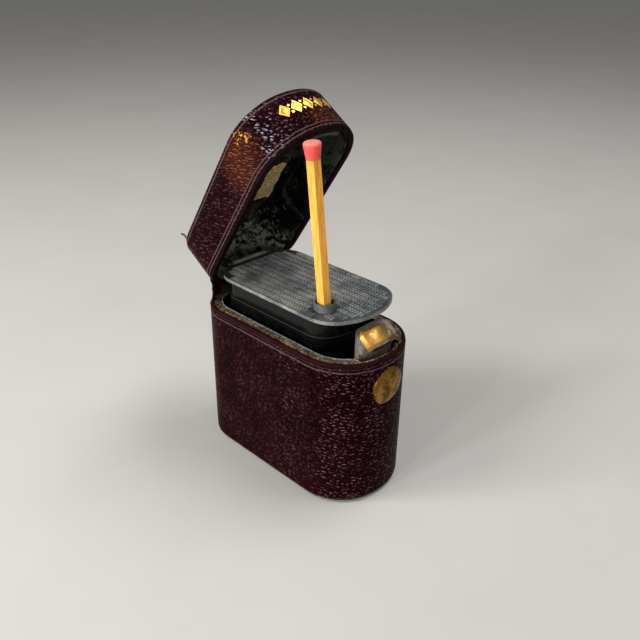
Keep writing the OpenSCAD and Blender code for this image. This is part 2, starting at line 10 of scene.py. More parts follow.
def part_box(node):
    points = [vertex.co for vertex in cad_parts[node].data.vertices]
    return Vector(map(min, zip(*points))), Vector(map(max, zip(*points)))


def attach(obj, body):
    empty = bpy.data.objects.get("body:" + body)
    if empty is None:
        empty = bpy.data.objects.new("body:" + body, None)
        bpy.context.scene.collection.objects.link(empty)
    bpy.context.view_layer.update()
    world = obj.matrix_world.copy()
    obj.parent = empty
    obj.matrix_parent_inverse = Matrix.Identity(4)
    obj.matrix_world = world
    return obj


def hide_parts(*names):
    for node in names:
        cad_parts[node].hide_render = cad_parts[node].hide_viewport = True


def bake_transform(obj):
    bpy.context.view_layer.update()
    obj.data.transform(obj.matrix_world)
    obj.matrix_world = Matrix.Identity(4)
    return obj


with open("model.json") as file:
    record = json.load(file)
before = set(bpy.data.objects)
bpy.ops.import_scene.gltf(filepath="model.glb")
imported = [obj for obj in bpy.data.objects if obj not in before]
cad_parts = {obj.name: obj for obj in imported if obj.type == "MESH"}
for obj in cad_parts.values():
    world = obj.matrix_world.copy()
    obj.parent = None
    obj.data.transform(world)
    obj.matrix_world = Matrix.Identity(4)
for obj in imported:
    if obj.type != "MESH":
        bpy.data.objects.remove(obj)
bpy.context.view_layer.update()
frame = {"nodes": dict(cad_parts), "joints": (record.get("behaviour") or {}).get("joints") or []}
nodes = frame["nodes"]
print("frame loaded:", len(nodes), "nodes")

# what the pieces below are measured from
lidHinge = next(joint for joint in frame["joints"] if joint["name"] == "lid_hinge")
hingeAxis = Vector(lidHinge["pos_m"])
lidOpen = math.radians(lidHinge["range_deg"][1])
openTurn = Matrix.Rotation(-lidOpen, 3, "Y")
caseLow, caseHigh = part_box("case_leather")
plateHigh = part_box("striking_plate")[1]
boxLow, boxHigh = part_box("match_box")
socketMiddle = sum(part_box("match_socket"), Vector()) / 2


def tone(red, green, blue):  # a colour as it looks on screen, 0 to 255
    def lin(v):
        v /= 255
        return v / 12.92 if v <= 0.04045 else ((v + 0.055) / 1.055) ** 2.4
    return (lin(red), lin(green), lin(blue), 1)


def opened(point):  # a point of the shut lid, where the lid stands open
    return hingeAxis + openTurn @ (Vector(point) - hingeAxis)


# camera: where the picture was taken from
shot = {
    "azimuth": 43.82, "elevation": 28.19, "roll": 0.94, "distance": 0.16916,
    "target": (0.00395, 0.00065, 0.03815), "lens": 40.19, "sensor": 36,
    "nearest": 0.005, "furthest": 20,
}


def placeCamera(s):
    az, el, roll = (math.radians(s[k]) for k in ("azimuth", "elevation", "roll"))
    back = Vector((math.sin(az) * math.cos(el), -math.cos(az) * math.cos(el), math.sin(el)))
    side = Vector((math.cos(az), math.sin(az), 0))
    up = back.cross(side)
    right = side * math.cos(roll) + up * math.sin(roll)
    up = up * math.cos(roll) - side * math.sin(roll)
    bpy.ops.object.camera_add(location=Vector(s["target"]) + back * s["distance"])
    cam = bpy.context.object
    cam.name = "shotCamera"
    cam.rotation_euler = Matrix((right, up, back)).transposed().to_euler()
    cam.data.lens, cam.data.sensor_width = s["lens"], s["sensor"]
    cam.data.clip_start, cam.data.clip_end = s["nearest"], s["furthest"]
    bpy.context.scene.camera = cam


placeCamera(shot)
bpy.context.scene.view_settings.view_transform = "Standard"
print("camera set")


# one output of a material's node, with arithmetic on it
class Wire:
    def __init__(self, paint, socket):
        self.paint, self.socket = paint, socket

    def calc(self, operation, other=0.0, swap=False, clamp=False):
        pair = (other, self) if swap else (self, other)
        return self.paint.add("ShaderNodeMath", {"operation": operation, "use_clamp": clamp},
                              {0: pair[0], 1: pair[1]})

    def __add__(self, other):
        return self.calc("ADD", other)

    def __radd__(self, other):
        return self.calc("ADD", other, True)

    def __sub__(self, other):
        return self.calc("SUBTRACT", other)

    def __rsub__(self, other):
        return self.calc("SUBTRACT", other, True)

    def __mul__(self, other):
        return self.calc("MULTIPLY", other)

    def __rmul__(self, other):
        return self.calc("MULTIPLY", other, True)

    def __pow__(self, other):
        return self.calc("POWER", other)

    def __rpow__(self, other):
        return self.calc("POWER", other, True)

    def __abs__(self):
        return self.calc("ABSOLUTE")

    def clip(self):  # kept between 0 and 1
        return self.calc("ADD", 0.0, clamp=True)

    def most(self, other):
        return self.calc("MAXIMUM", other)

    def least(self, other):
        return self.calc("MINIMUM", other)

    def ease(self, low, high):  # 0 at low, 1 at high, smooth between
        return self.paint.add("ShaderNodeMapRange", {"interpolation_type": "SMOOTHSTEP"},
                              {"Value": self, "From Min": low, "From Max": high})

    def band(self, centre, half, soft):  # 1 within half of centre, fading out over soft
        return 1 - abs(self - centre).ease(half, half + soft)

    def blend(self, first, second):  # a colour between two, by this amount
        return self.paint.add("ShaderNodeMix", {"data_type": "RGBA"},
                              {0: self, 6: first, 7: second}, 2)


# a material, its shader and the nodes that feed it
class Paint:
    def __init__(self, name, **fixed):
        self.material = bpy.data.materials.new(name)
        self.material.use_nodes = True
        self.tree = self.material.node_tree
        self.shader = self.tree.nodes["Principled BSDF"]
        for key, value in fixed.items():
            self.shader.inputs[key.replace("_", " ")].default_value = value

    def add(self, kind, settings=None, values=None, out=0):
        node = self.tree.nodes.new(kind)
        for key, value in (settings or {}).items():
            setattr(node, key, value)
        for key, value in (values or {}).items():
            if isinstance(value, Wire):
                self.tree.links.new(value.socket, node.inputs[key])
            else:
                node.inputs[key].default_value = value
        return Wire(self, node.outputs[out])

    def place(self):
        return self.add("ShaderNodeTexCoord", out="Object")

    def shutPlace(self):  # where a point of the open lid is when the lid is shut
        return self.add("ShaderNodeVectorRotate", {"rotation_type": "Y_AXIS"}, {
            "Vector": self.place(), "Center": tuple(hingeAxis), "Angle": lidOpen})

    def axes(self, where):
        split = self.add("ShaderNodeSeparateXYZ", values={0: where})
        return [Wire(self, s) for s in split.socket.node.outputs]

    def shift(self, where, move=(0, 0, 0), turn=(0, 0, 0), scale=(1, 1, 1)):
        return self.add("ShaderNodeMapping", values={
            "Vector": where, "Location": move, "Rotation": turn, "Scale": scale})

    def noise(self, where, scale, detail=3.0, rough=0.55, warp=0.0, out=0):
        return self.add("ShaderNodeTexNoise", {}, {
            "Vector": where, "Scale": scale, "Detail": detail, "Roughness": rough,
            "Distortion": warp}, out)

    def cells(self, where, scale):  # how far a point is from the edge of its cell
        return self.add("ShaderNodeTexVoronoi", {"feature": "DISTANCE_TO_EDGE"},
                        {"Vector": where, "Scale": scale})

    def bumped(self, height, depth, strength=1.0, under=None):
        values = {"Height": height, "Distance": depth, "Strength": strength}
        if under:
            values["Normal"] = under
        return self.add("ShaderNodeBump", {}, values)

    def finish(self, **inputs):
        for key, value in inputs.items():
            self.tree.links.new(value.socket, self.shader.inputs[key.replace("_", " ")])
        return self.material


# floor and sky
stage = {"floor": tone(188, 184, 178), "shade": tone(178, 173, 166), "size": 12, "patches": 22,
         "sky": tone(205, 208, 212), "skyPower": 0.42}


def setStage(s):
    bpy.ops.mesh.primitive_plane_add(size=s["size"], location=(0, 0, 0))
    floor = bpy.context.object
    floor.name = "floorCloth"
    paint = Paint("floorPale", Specular_IOR_Level=0.2)
    drift = paint.noise(paint.place(), s["patches"], 4)
    floor.data.materials.append(paint.finish(
        Base_Color=drift.blend(s["floor"], s["shade"]), Roughness=0.7 + drift * 0.2))
    world = bpy.data.worlds.new("paleRoom")
    bpy.context.scene.world = world
    world.use_nodes = True
    back = world.node_tree.nodes["Background"]
    back.inputs["Color"].default_value = s["sky"]
    back.inputs["Strength"].default_value = s["skyPower"]


# lamps: place, height that each is turned to, size, power, colour
lamps = {
    "keyLamp": ((-0.18, -0.30, 0.44), 0.03, (0.16, 0.14), 1.3, (1, 0.985, 0.96)),
    "topLamp": ((0.10, 0.16, 0.52), 0.04, (0.3, 0.2), 1.8, (0.96, 0.98, 1)),
    "frontLamp": ((-0.05, -0.48, 0.18), 0.03, (0.07, 0.06), 1.1, (0.9, 0.96, 1)),
    "lowLamp": ((-0.29, -0.40, 0.11), 0.03, (0.09, 0.08), 1.1, (1, 0.98, 0.96)),
    "bendLamp": ((0.07, -0.47, 0.12), 0.03, (0.05, 0.08), 0.8, (0.94, 0.98, 1)),
    "sideLamp": ((0.38, -0.30, 0.12), 0.03, (0.04, 0.08), 0.6, (1, 0.98, 0.95)),
}


def softBox(name, place, aimHeight, size, power, colour):
    bpy.ops.object.light_add(type="AREA", location=place)
    lamp = bpy.context.object
    lamp.name = name
    lamp.data.shape = "RECTANGLE"
    lamp.data.size, lamp.data.size_y = size
    lamp.data.energy, lamp.data.color = power, colour
    aim = Vector((0, 0, aimHeight)) - Vector(place)
    lamp.rotation_euler = aim.to_track_quat("-Z", "Y").to_euler()


setStage(stage)
for lampName, values in lamps.items():
    softBox(lampName, *values)
print("stage and lamps set")


# outlines seen from above: ends, half width, and the radii of back bends, front bends and bow
casePlan = {"back": caseLow.x, "front": caseHigh.x, "half": caseHigh.y,
            "backR": 0.010, "frontR": 0.0123, "bowR": 0.0173}
platePlan = {"back": boxLow.x, "front": plateHigh.x, "half": plateHigh.y,
             "backR": 0.006, "frontR": 0.0076, "bowR": 0.0159}


def frontBend(plan):  # where the front bends have their middles along X, and half the bow's angle
    step = plan["bowR"] - plan["frontR"]
    bow = math.asin((plan["half"] - plan["frontR"]) / step)
    return plan["front"] - plan["bowR"] + step * math.cos(bow), bow


# leather: its grain, its colours, and what shows on the case and on the lid
leather = {
    "gloss": 0.007, "depth": 0.0003, "warp": 0.0009,
    "grain": 1150, "fine": 6200, "rough": 1900, "patch": 260, "broad": 85,  # patterns' scales
    # the valley colour is painted shade; the flank, ridge line and sheen colours are painted
    # highlights
    "body": tone(41, 6, 12), "dark": tone(34, 6, 12), "crease": tone(11, 2, 4),
    "worn": tone(84, 28, 28), "flankHighlight": tone(126, 104, 108), "line": tone(132, 106, 108),
    "sheen": tone(184, 184, 196), "brown": tone(122, 68, 44), "scuff": tone(216, 148, 66),
}
caseMarks = {
    "pull": (0.6, 0.6, 1.1), "turn": -0.42, "rise": (0, 0, 0.0002),  # how the grain lies
    "creases": [(0.0366, 0.0001, 0.0003)], "rubbedFoot": (0.0004, 0.0016),
    "ridges": [((0.0361, 0.0001, 0.00025), 1.0), ((0.03695, 0.00005, 0.00015), 0.4),
               ((0.0010, 0.0001, 0.0003), 0.7)],
    "brown": [((0.0236, -0.0084, 0.0019), 0.0016, 1.0)],
    # painted highlight on the grain's flanks: all over, at the front bend, and past it to the front
    "paleShare": 0.08, "highlightBend": ((0.0085, 0.0015, 0.004), 0.14),
    "highlightFront": ((0.0165, 0.0185), 0.4),
    "seam": (-0.0085, 0.00006, 0.00016), "seamFrom": (0.018, 0.019), "seamTop": (0.008, 0.013),
}
lidMarks = {
    "pull": (0.36, 1.0, 1.3), "turn": -0.925, "rise": (0.00016, 0, 0.0001),
    "creases": [(0.0397, 0.0001, 0.0003), (0.0486, 0.0001, 0.0004)],
    "rubbedFoot": (0.0390, 0.0394),
    "ridges": [((0.0393, 0.00008, 0.0002), 1.0), ((0.0401, 0.00008, 0.0002), 1.0),
               ((0.0490, 0.0001, 0.00025), 1.0)],
    "brown": [((0.0135, -0.0137, 0.0448), 0.0085, 1.0), ((0.0255, 0.002, 0.0412), 0.006, 0.9)],
    # painted highlight on the grain's flanks: all over and at the front bend
    "paleShare": 0.16, "highlightBend": ((0.0215, 0.001, 0.0035), 0.36),
    "bare": [((0.0168, -0.0133, 0.0482), 0.0034), ((0.0185, -0.0128, 0.0462), 0.0026)],
    "sheenAt": (0.0212, 0.0008, 0.0022),
}


def leatherGrain(p, where, size, marks):  # valleys, height, and flanks that face up, painted pale as highlights
    swirl = p.noise(where, size * 0.5, 3.0, 0.5, out="Color")
    warped = p.add("ShaderNodeVectorMath", {"operation": "MULTIPLY_ADD"}, {
        0: swirl, 1: (leather["warp"],) * 3, 2: where})
    turn = (0, marks["turn"], 0)
    laid = p.shift(p.shift(warped, turn=turn), scale=marks["pull"])
    above = p.shift(p.shift(p.shift(warped, marks["rise"]), turn=turn), scale=marks["pull"])
    pebble = p.cells(laid, size).ease(0.0, 0.36)
    higher = p.cells(above, size).ease(0.0, 0.36)
    fold = abs(p.noise(laid, size * 0.55, 3, 0.6) - 0.5).ease(0.0, 0.08)
    valley = (pebble * 1.4).clip() * (0.35 + fold * 0.65)
    # where the painted highlights on the upward flanks show
    worn = p.noise(where, size * 1.3, 2, 0.6).ease(0.42, 0.56)
    litFlank = (pebble - higher).ease(0.24, 0.6) * worn
    return valley, pebble * 0.65 + fold * 0.35, litFlank


def near(axes, spot, reach):  # 1 at a spot, fading out by reach
    gap = sum((axis - centre) ** 2.0 for axis, centre in zip(axes, spot)) ** 0.5
    return 1 - gap.ease(reach * 0.25, reach)


def strongest(masks):
    return reduce(Wire.most, masks)


def leatherPaint(name, marks, lid=False):
    s = leather
    p = Paint(name, Specular_IOR_Level=s["gloss"])
    where = p.shutPlace() if lid else p.place()
    axes = p.axes(where)
    x, y, z = axes
    valley, grain, flankHighlight = leatherGrain(p, where, s["grain"], marks)
    fine = p.noise(where, s["fine"])
    rough = p.noise(where, s["rough"], 3, 0.7)
    patch = p.noise(where, s["patch"], 4, 0.65)
    broad = p.noise(where, s["broad"], 3, 0.6)
    edges = strongest([z.band(*crease) for crease in marks["creases"]]
                      + [1 - z.ease(*marks["rubbedFoot"])])
    ridge = sum(z.band(*place) * amount for place, amount in marks["ridges"])
    brown = strongest([near(axes, spot, reach) * amount for spot, reach, amount in marks["brown"]])
    if "seam" in marks:
        seam = y.band(*marks["seam"]) * x.ease(*marks["seamFrom"]) * (1 - z.ease(*marks["seamTop"]))
        ridge = ridge - seam * 1.2
    # ground colour, darker in the valleys as painted shade and in broad drifts, rubbed on its
    # heights and edges
    shade = valley.blend(s["crease"], s["body"])
    shade = (broad.ease(0.35, 0.7) * 0.6).blend(shade, s["dark"])
    rub = (grain * 0.5 + patch * 0.9 + rough * 0.25).ease(0.98, 1.2)
    shade = (rub * 0.22).blend(shade, s["worn"])
    shade = (edges * rough.ease(0.45, 0.65) * 0.35).blend(shade, s["worn"])
    # painted highlights on the grain's upward flanks, most at the bends
    place, amount = marks["highlightBend"]
    paleShare = marks["paleShare"] + broad.ease(0.42, 0.62) * 0.2 + x.band(*place) * amount
    if "highlightFront" in marks:
        place, amount = marks["highlightFront"]
        paleShare = paleShare + x.ease(*place) * amount
    highlightAmount = flankHighlight * paleShare
    shade = highlightAmount.blend(shade, s["flankHighlight"])
    # painted sheen: a pale bluish highlight on the flanks at the lid's front bend
    if "sheenAt" in marks:
        sheen = x.band(*marks["sheenAt"]) * patch.ease(0.42, 0.6)
        shine = flankHighlight * 0.75 + grain.ease(0.45, 0.85) * 0.16
        shade = (shine * sheen).clip().blend(shade, s["sheen"])
    # painted highlight along the ridges by the creases and at the foot
    shade = (ridge * 0.3).clip().blend(shade, s["line"])
    # brown worn spots, laid mostly on the painted highlight flanks
    shade = (brown * (0.12 + valley * 0.22 + flankHighlight * 0.9)).clip().blend(shade, s["brown"])
    if "bare" in marks:
        spots = strongest([near(axes, spot, reach) for spot, reach in marks["bare"]])
        tan = (spots * 0.42 + rough * 0.9 + patch * 0.3).ease(1.02, 1.12)
        shade = tan.blend(shade, s["scuff"])
    height = grain + fine * 0.03 + patch * 1.1
    return p.finish(
        Base_Color=shade,
        Roughness=0.24 - grain * 0.12 + fine * 0.06 + broad * 0.06 - ridge * 0.04,
        Normal=p.bumped(height, s["depth"], 1.0, p.bumped(ridge, s["depth"])))


def inFromEdge(axes):  # distance in from the outline of the case, near its bends
    x, y = axes[0], abs(axes[1])
    backR, frontR, half = (casePlan[k] for k in ("backR", "frontR", "half"))
    pastBack = (x - (casePlan["back"] + backR)).least(0.0) ** 2.0
    pastFront = (x - frontBend(casePlan)[0]).most(0.0) ** 2.0
    back = (pastBack + (y - (half - backR)).most(0.0) ** 2.0) ** 0.5
    front = (pastFront + (y - (half - frontR)).most(0.0) ** 2.0) ** 0.5
    return (backR - back).least(frontR - front)


def rimPaint(name, side, bare, top=None):  # cut edge of the leather, with rubbed paper on top
    p = Paint(name, Specular_IOR_Level=0.025)
    where = p.place()
    speck = p.noise(where, 1700, 4, 0.7)
    drift = p.noise(where, 240, 3, 0.6)
    paleShare = (speck * 0.7 + drift * 0.5).ease(0.54, 0.74)
    shade = (paleShare * bare).blend(side, tone(62, 30, 26))
    if top:
        facing = p.axes(p.add("ShaderNodeNewGeometry", out="Normal"))
        inside = inFromEdge(p.axes(where)) + (drift - 0.5) * 0.001
        up = facing[2].ease(0.45, 0.85) * inside.ease(0.00075, 0.00115)
        paper = (speck * 0.6 + drift * 0.6).ease(0.56, 0.76).blend(top, tone(160, 132, 94))
        paper = speck.ease(0.36, 0.52).blend(tone(38, 26, 24), paper)
        shade = up.blend(shade, paper)
    return p.finish(Base_Color=shade, Roughness=0.5 + speck * 0.3,
                    Normal=p.bumped(speck + drift, 0.00014, 0.9))


def webPaint(name):  # cracked red-brown outside, black and glossy in the folds
    p = Paint(name, Specular_IOR_Level=0.55)
    where = p.place()
    crack = p.noise(where, 900, 4, 0.7, 0.8)
    drift = p.noise(where, 300, 3)
    base = (crack * 0.7 + drift * 0.4).ease(0.5, 0.74).blend(tone(8, 4, 6), tone(40, 15, 18))
    base = (crack * 0.8 + drift * 0.3).ease(0.74, 0.80).blend(base, tone(104, 56, 40))
    return p.finish(Base_Color=base, Roughness=0.16 + crack * 0.25,
                    Normal=p.bumped(crack + drift, 0.00025, 0.8))


def woodPaint(name, light, dark):
    p = Paint(name, Specular_IOR_Level=0.3)
    where = p.place()
    line = p.noise(p.shift(where, scale=(1, 1, 0.12)), 1900, 3, 0.6, 0.4)
    drift = p.noise(where, 300, 2)
    base = line.ease(0.35, 0.7).blend(dark, light)
    base = (drift.ease(0.45, 0.75) * 0.4).blend(base, dark)
    return p.finish(Base_Color=base, Roughness=0.55 + line * 0.2,
                    Normal=p.bumped(line, 0.00008, 0.6))


def blackTinPaint(name, gloss=0.14, seam=None, highlightTop=None):  # heights of a pale raised line, and of a painted highlight along the top edge
    p = Paint(name, Specular_IOR_Level=gloss)
    where = p.place()
    z = p.axes(where)[2]
    smear = p.noise(where, 150, 4, 0.6, 0.6)
    chip = p.noise(where, 1500, 3, 0.7)
    scratch = p.noise(p.shift(where, turn=(0.4, 0.7, 0.3), scale=(1, 0.05, 1)), 2600, 2)
    wear = (chip * 0.7 + smear * 0.45).ease(0.80, 0.86)
    base = smear.ease(0.45, 0.8).blend(tone(5, 5, 6), tone(22, 24, 16))
    base = (wear * 0.8).blend(base, tone(120, 116, 96))
    height = scratch * 0.3 + smear * 2.0
    # a pale raised line round the wall at this height
    if seam:
        line = z.band(seam, 0.00004, 0.00007)
        base = (line * 0.55).blend(base, tone(74, 70, 62))
        height = height + line * 3.0
    # painted highlight along the top edge
    if highlightTop:
        topHighlight = z.ease(highlightTop - 0.00025, highlightTop - 0.0001)
        grey = chip.ease(0.3, 0.7).blend(tone(58, 62, 66), tone(150, 152, 150))
        base = topHighlight.blend(base, grey)
    return p.finish(Base_Color=base, Roughness=0.08 + smear * 0.12 + wear * 0.3,
                    Normal=p.bumped(height, 0.00005, 0.6))


def greyTinPaint(name, light, dark, rusty=0.5, metal=0.3):
    p = Paint(name, Metallic=metal, Specular_IOR_Level=0.45)
    where = p.place()
    smear = p.noise(where, 240, 4, 0.6)
    speck = p.noise(where, 3300, 3, 0.7)
    base = (smear * 0.6 + speck * 0.5).ease(0.4, 0.75).blend(dark, light)
    rust = (speck * 0.6 + smear * 0.5).ease(0.64, 0.74)
    base = (rust * rusty).blend(base, tone(116, 94, 66))
    return p.finish(Base_Color=base, Roughness=0.36 + speck * 0.22,
                    Normal=p.bumped(speck + smear, 0.00005, 0.7))


def brassPaint(name, light, dark, shine=0.3, oldFrom=0.46, oldTo=0.66):
    p = Paint(name, Metallic=1.0)
    where = p.place()
    smear = p.noise(where, 420, 4, 0.65, 0.5)
    speck = p.noise(where, 3600, 3, 0.7)
    old = (smear * 0.75 + speck * 0.35).ease(oldFrom, oldTo)
    return p.finish(Base_Color=old.blend(light, dark), Roughness=shine + old * 0.25 + speck * 0.1,
                    Normal=p.bumped(speck * 0.6 + smear, 0.00006, 0.6))


def catchSteelPaint(name, noseShadeFrom=(0.02335, 0.0236), noseShadeTop=(0.0398, 0.0400)):  # painted shade on the front face of its nose
    p = Paint(name, Metallic=0.55, Specular_IOR_Level=0.45)
    where = p.place()
    x, _, z = p.axes(where)
    smear = p.noise(where, 420, 4, 0.6)
    speck = p.noise(where, 2600, 3, 0.7)
    base = (smear * 0.6 + speck * 0.5).ease(0.4, 0.72).blend(tone(84, 78, 74), tone(156, 148, 138))
    base = (speck * 0.6 + smear * 0.5).ease(0.56, 0.68).blend(base, tone(120, 88, 56))
    # painted shade on the nose's front face
    noseShade = x.ease(*noseShadeFrom).least(1 - z.ease(*noseShadeTop))
    base = noseShade.blend(base, tone(26, 30, 24))
    return p.finish(Base_Color=base, Roughness=0.4 + speck * 0.2,
                    Normal=p.bumped(speck + smear, 0.00008, 0.8))


def catchGoldPaint(name, fade=130.0):  # bright on the near half, brown further over
    p = Paint(name, Metallic=0.9)
    where = p.place()
    y = p.axes(where)[1]
    smear = p.noise(where, 700, 4, 0.65, 0.5)
    speck = p.noise(where, 3600, 3, 0.7)
    old = (smear * 0.6 + y * fade + speck * 0.25).ease(0.25, 0.85)
    base = old.blend(tone(222, 168, 84), tone(112, 88, 58))
    # pale painted highlight where the smear is low
    base = ((1 - smear.ease(0.3, 0.42)) * 0.7).blend(base, tone(246, 214, 152))
    return p.finish(Base_Color=base, Roughness=0.3 + old * 0.25 + speck * 0.1,
                    Normal=p.bumped(speck * 0.5 + smear, 0.00009, 0.8))


def steelPaint(name):
    p = Paint(name, Metallic=1.0)
    where = p.place()
    speck = p.noise(where, 4200, 3, 0.7)
    base = speck.ease(0.4, 0.7).blend(tone(150, 148, 142), tone(92, 88, 80))
    return p.finish(Base_Color=base, Roughness=0.32 + speck * 0.2)


# where the lining's paper is torn off: bands along X and Y, and the height it starts at
tornLining = {"along": (-0.0025, 0.0055, 0.0016), "across": (0.0052, 0.0022, 0.0012),
              "above": (0.0476, 0.0482)}


def liningPaint(name, torn):
    p = Paint(name, Specular_IOR_Level=0.35)
    where = p.shutPlace()
    x, y, z = p.axes(where)
    fold = p.noise(where, 330, 4, 0.6, 1.2)
    patch = p.noise(where, 150, 4, 0.6, 0.9)
    fleck = p.noise(where, 1400, 3, 0.7)
    base = (patch * 0.8 + fleck * 0.25).ease(0.52, 0.62).blend(tone(6, 6, 6), tone(46, 50, 44))
    # painted highlights on the crumples, more of them towards the back
    foldHighlight = (fold * 0.9 + fleck * 0.3 - x * 14.0).ease(0.86, 0.96)
    base = (foldHighlight * 0.7).blend(base, tone(128, 134, 120))
    bare = x.band(*torn["along"]) * y.band(*torn["across"]) * z.ease(*torn["above"])
    bare = (bare + fleck * 0.35 + patch * 0.5).ease(1.08, 1.2)
    base = bare.blend(base, fleck.ease(0.3, 0.7).blend(tone(120, 96, 62), tone(188, 166, 120)))
    return p.finish(Base_Color=base, Roughness=0.16 + patch * 0.2 + bare * 0.35,
                    Normal=p.bumped(fold, 0.0007, 0.7))


def matchWoodPaint(name, lean=(-3.4, 3.5)):  # fibres along the stick, which leans by these degrees
    p = Paint(name, Specular_IOR_Level=0.25)
    turn = (math.radians(lean[0]), math.radians(lean[1]), 0)
    fibres = p.shift(p.place(), turn=turn, scale=(1, 1, 0.05))
    line = p.noise(fibres, 2600, 4, 0.65, 0.3)
    base = line.ease(0.3, 0.62).blend(tone(204, 130, 42), tone(230, 166, 68))
    base = (line.ease(0.60, 0.78) * 0.5).blend(base, tone(246, 200, 112))
    base = ((1 - line.ease(0.29, 0.33)) * 0.6).blend(base, tone(160, 98, 36))
    return p.finish(Base_Color=base, Roughness=0.6 + line * 0.15,
                    Normal=p.bumped(line, 0.00006, 0.7))


def matchTipPaint(name, paleAbove=(0.0822, 0.0832)):
    p = Paint(name, Specular_IOR_Level=0.25)
    where = p.place()
    z = p.axes(where)[2]
    grit = p.noise(where, 4200, 4, 0.7)
    base = grit.ease(0.35, 0.7).blend(tone(206, 62, 54), tone(230, 96, 86))
    base = (z.ease(*paleAbove) * 0.55).blend(base, tone(238, 142, 128))
    return p.finish(Base_Color=base, Roughness=0.62 + grit * 0.2,
                    Normal=p.bumped(grit, 0.00012, 0.7))


paints = {
    "oxblood": leatherPaint("oxbloodLeather", caseMarks),
    "oxbloodLid": leatherPaint("oxbloodLidLeather", lidMarks, lid=True),
    "rim": rimPaint("rubbedRim", tone(30, 9, 12), 0.3, top=tone(88, 72, 58)),
    "lip": rimPaint("lidLip", tone(14, 4, 6), 0.15),
    "webLeather": webPaint("webLeather"),
    "core": woodPaint("boxwoodCore", tone(176, 138, 96), tone(110, 76, 46)),
    "neckTin": blackTinPaint("blackTinNeck", gloss=0.18, seam=0.0401),
    "linerTin": blackTinPaint("blackTinLiner", highlightTop=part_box("case_liner")[1].z),
    "blackTin": blackTinPaint("blackTin"),
    "greyTin": greyTinPaint("greyTin", tone(126, 132, 133), tone(62, 68, 71)),
    "plateTin": greyTinPaint("plateTin", tone(82, 86, 85), tone(42, 46, 48), rusty=0.35),
    # paler copies of the plate's tin: painted highlights on the stroke tops and on the plate's edge
    "strokeHighlightTin": greyTinPaint("strokeHighlightTin", tone(188, 186, 176), tone(84, 90, 90)),
    "edgeHighlightTin": greyTinPaint("edgeHighlightTin", tone(150, 153, 148), tone(74, 78, 76), 0.3, metal=0.5),
    "paleTin": greyTinPaint("paleTin", tone(170, 160, 138), tone(104, 98, 84)),
    "brass": brassPaint("oldBrass", tone(176, 134, 62), tone(84, 62, 34)),
    "button": brassPaint("buttonBrass", tone(160, 116, 48), tone(92, 64, 26), oldTo=0.64),
    "catchFrame": catchSteelPaint("catchSteel"),
    "catchGold": catchGoldPaint("catchGold"),
    "giltLeaf": brassPaint("giltLeaf", tone(236, 184, 84), tone(170, 118, 46), 0.32, 0.55, 0.8),
    "steel": steelPaint("springSteel"),
    "lining": liningPaint("blackLining", tornLining),
    "stick": matchWoodPaint("matchStickWood"),
    "tip": matchTipPaint("matchTip"),
}
dressing = {
    "oxblood": ["base_leather", "case_leather"],
    "oxbloodLid": ["lid_leather"],
    "rim": ["rim_band"],
    "lip": ["lid_lip"],
    "core": ["case_core", "lid_core"],
    "neckTin": ["match_box"],
    "linerTin": ["case_liner"],
    "blackTin": ["shoulder_plate", "lid_keeper"],
    "greyTin": ["match_socket"],
    "paleTin": ["striker_leaf", "striker_pin", "spring_clamp"],
    "brass": ["case_hinge_leaf", "hinge_rivets", "button_bush", "button_collar",
              "lid_hinge_leaf", "lid_rivets", "catch_rivets"],
    "button": ["push_button"],
    "catchFrame": ["catch_head"],
    "steel": ["hinge_pin", "hinge_spring", "catch_spring"],
    "stick": ["match_stick"],
    "tip": ["match_head"],
}


def dress(piece, *finishes):
    piece.data.materials.clear()
    for finish in finishes:
        piece.data.materials.append(paints[finish])


for finish, names in dressing.items():
    for name in names:
        dress(nodes[name], finish)
print("finishes on", sum(len(n) for n in dressing.values()), "nodes")


def outline(plan, fine=48):  # points and outward normals, from the back, near side first
    back, half, backR, frontR, bowR = (plan[k] for k in ("back", "half", "backR", "frontR", "bowR"))
    bendX, bow = frontBend(plan)
    arcs = [((back + backR, backR - half), backR, -math.pi, -math.pi / 2),
            ((bendX, frontR - half), frontR, -math.pi / 2, -bow),
            ((plan["front"] - bowR, 0), bowR, -bow, bow),
            ((bendX, half - frontR), frontR, bow, math.pi / 2),
            ((back + backR, half - backR), backR, math.pi / 2, math.pi)]
    points = [((back, 0), (-1, 0))]
    for (cx, cy), radius, start, end in arcs:
        for i in range(fine + 1):
            a = start + (end - start) * i / fine
            n = (math.cos(a), math.sin(a))
            points.append(((cx + radius * n[0], cy + radius * n[1]), n))
    points.append(points[0])
    return points


def along(plan):  # a function from a distance round the plan to a point and its normal
    points = outline(plan)
    reach = [0.0]
    for (a, _), (b, _) in zip(points, points[1:]):
        reach.append(reach[-1] + math.dist(a, b))

    def at(distance):
        distance %= reach[-1]
        i = bisect_right(reach, distance) - 1
        t = (distance - reach[i]) / (reach[i + 1] - reach[i])
        (p, n), (q, m) = points[i], points[i + 1]
        return (Vector((p[0] + (q[0] - p[0]) * t, p[1] + (q[1] - p[1]) * t, 0)),
                Vector((n[0] + (m[0] - n[0]) * t, n[1] + (m[1] - n[1]) * t, 0)).normalized())
    return at, reach[-1]


def smooth(value, low, high):
    t = min(max((value - low) / (high - low), 0), 1)
    return t * t * (3 - 2 * t)


def pick(piece):  # selects one piece and nothing else
    bpy.ops.object.select_all(action="DESELECT")
    bpy.context.view_layer.objects.active = piece
    piece.select_set(True)


def choose(piece, test=None):  # edit mode, with the faces that pass the test selected, or all
    bpy.ops.object.mode_set(mode="OBJECT")
    pick(piece)
    if test:
        for part in (piece.data.vertices, piece.data.edges, piece.data.polygons):
            part.foreach_set("select", [False] * len(part))
        for face in piece.data.polygons:
            face.select = bool(test(face))
    bpy.ops.object.mode_set(mode="EDIT")
    bpy.ops.mesh.select_mode(type="FACE")
    if not test:
        bpy.ops.mesh.select_all(action="SELECT")


def leave():
    bpy.ops.object.mode_set(mode="OBJECT")


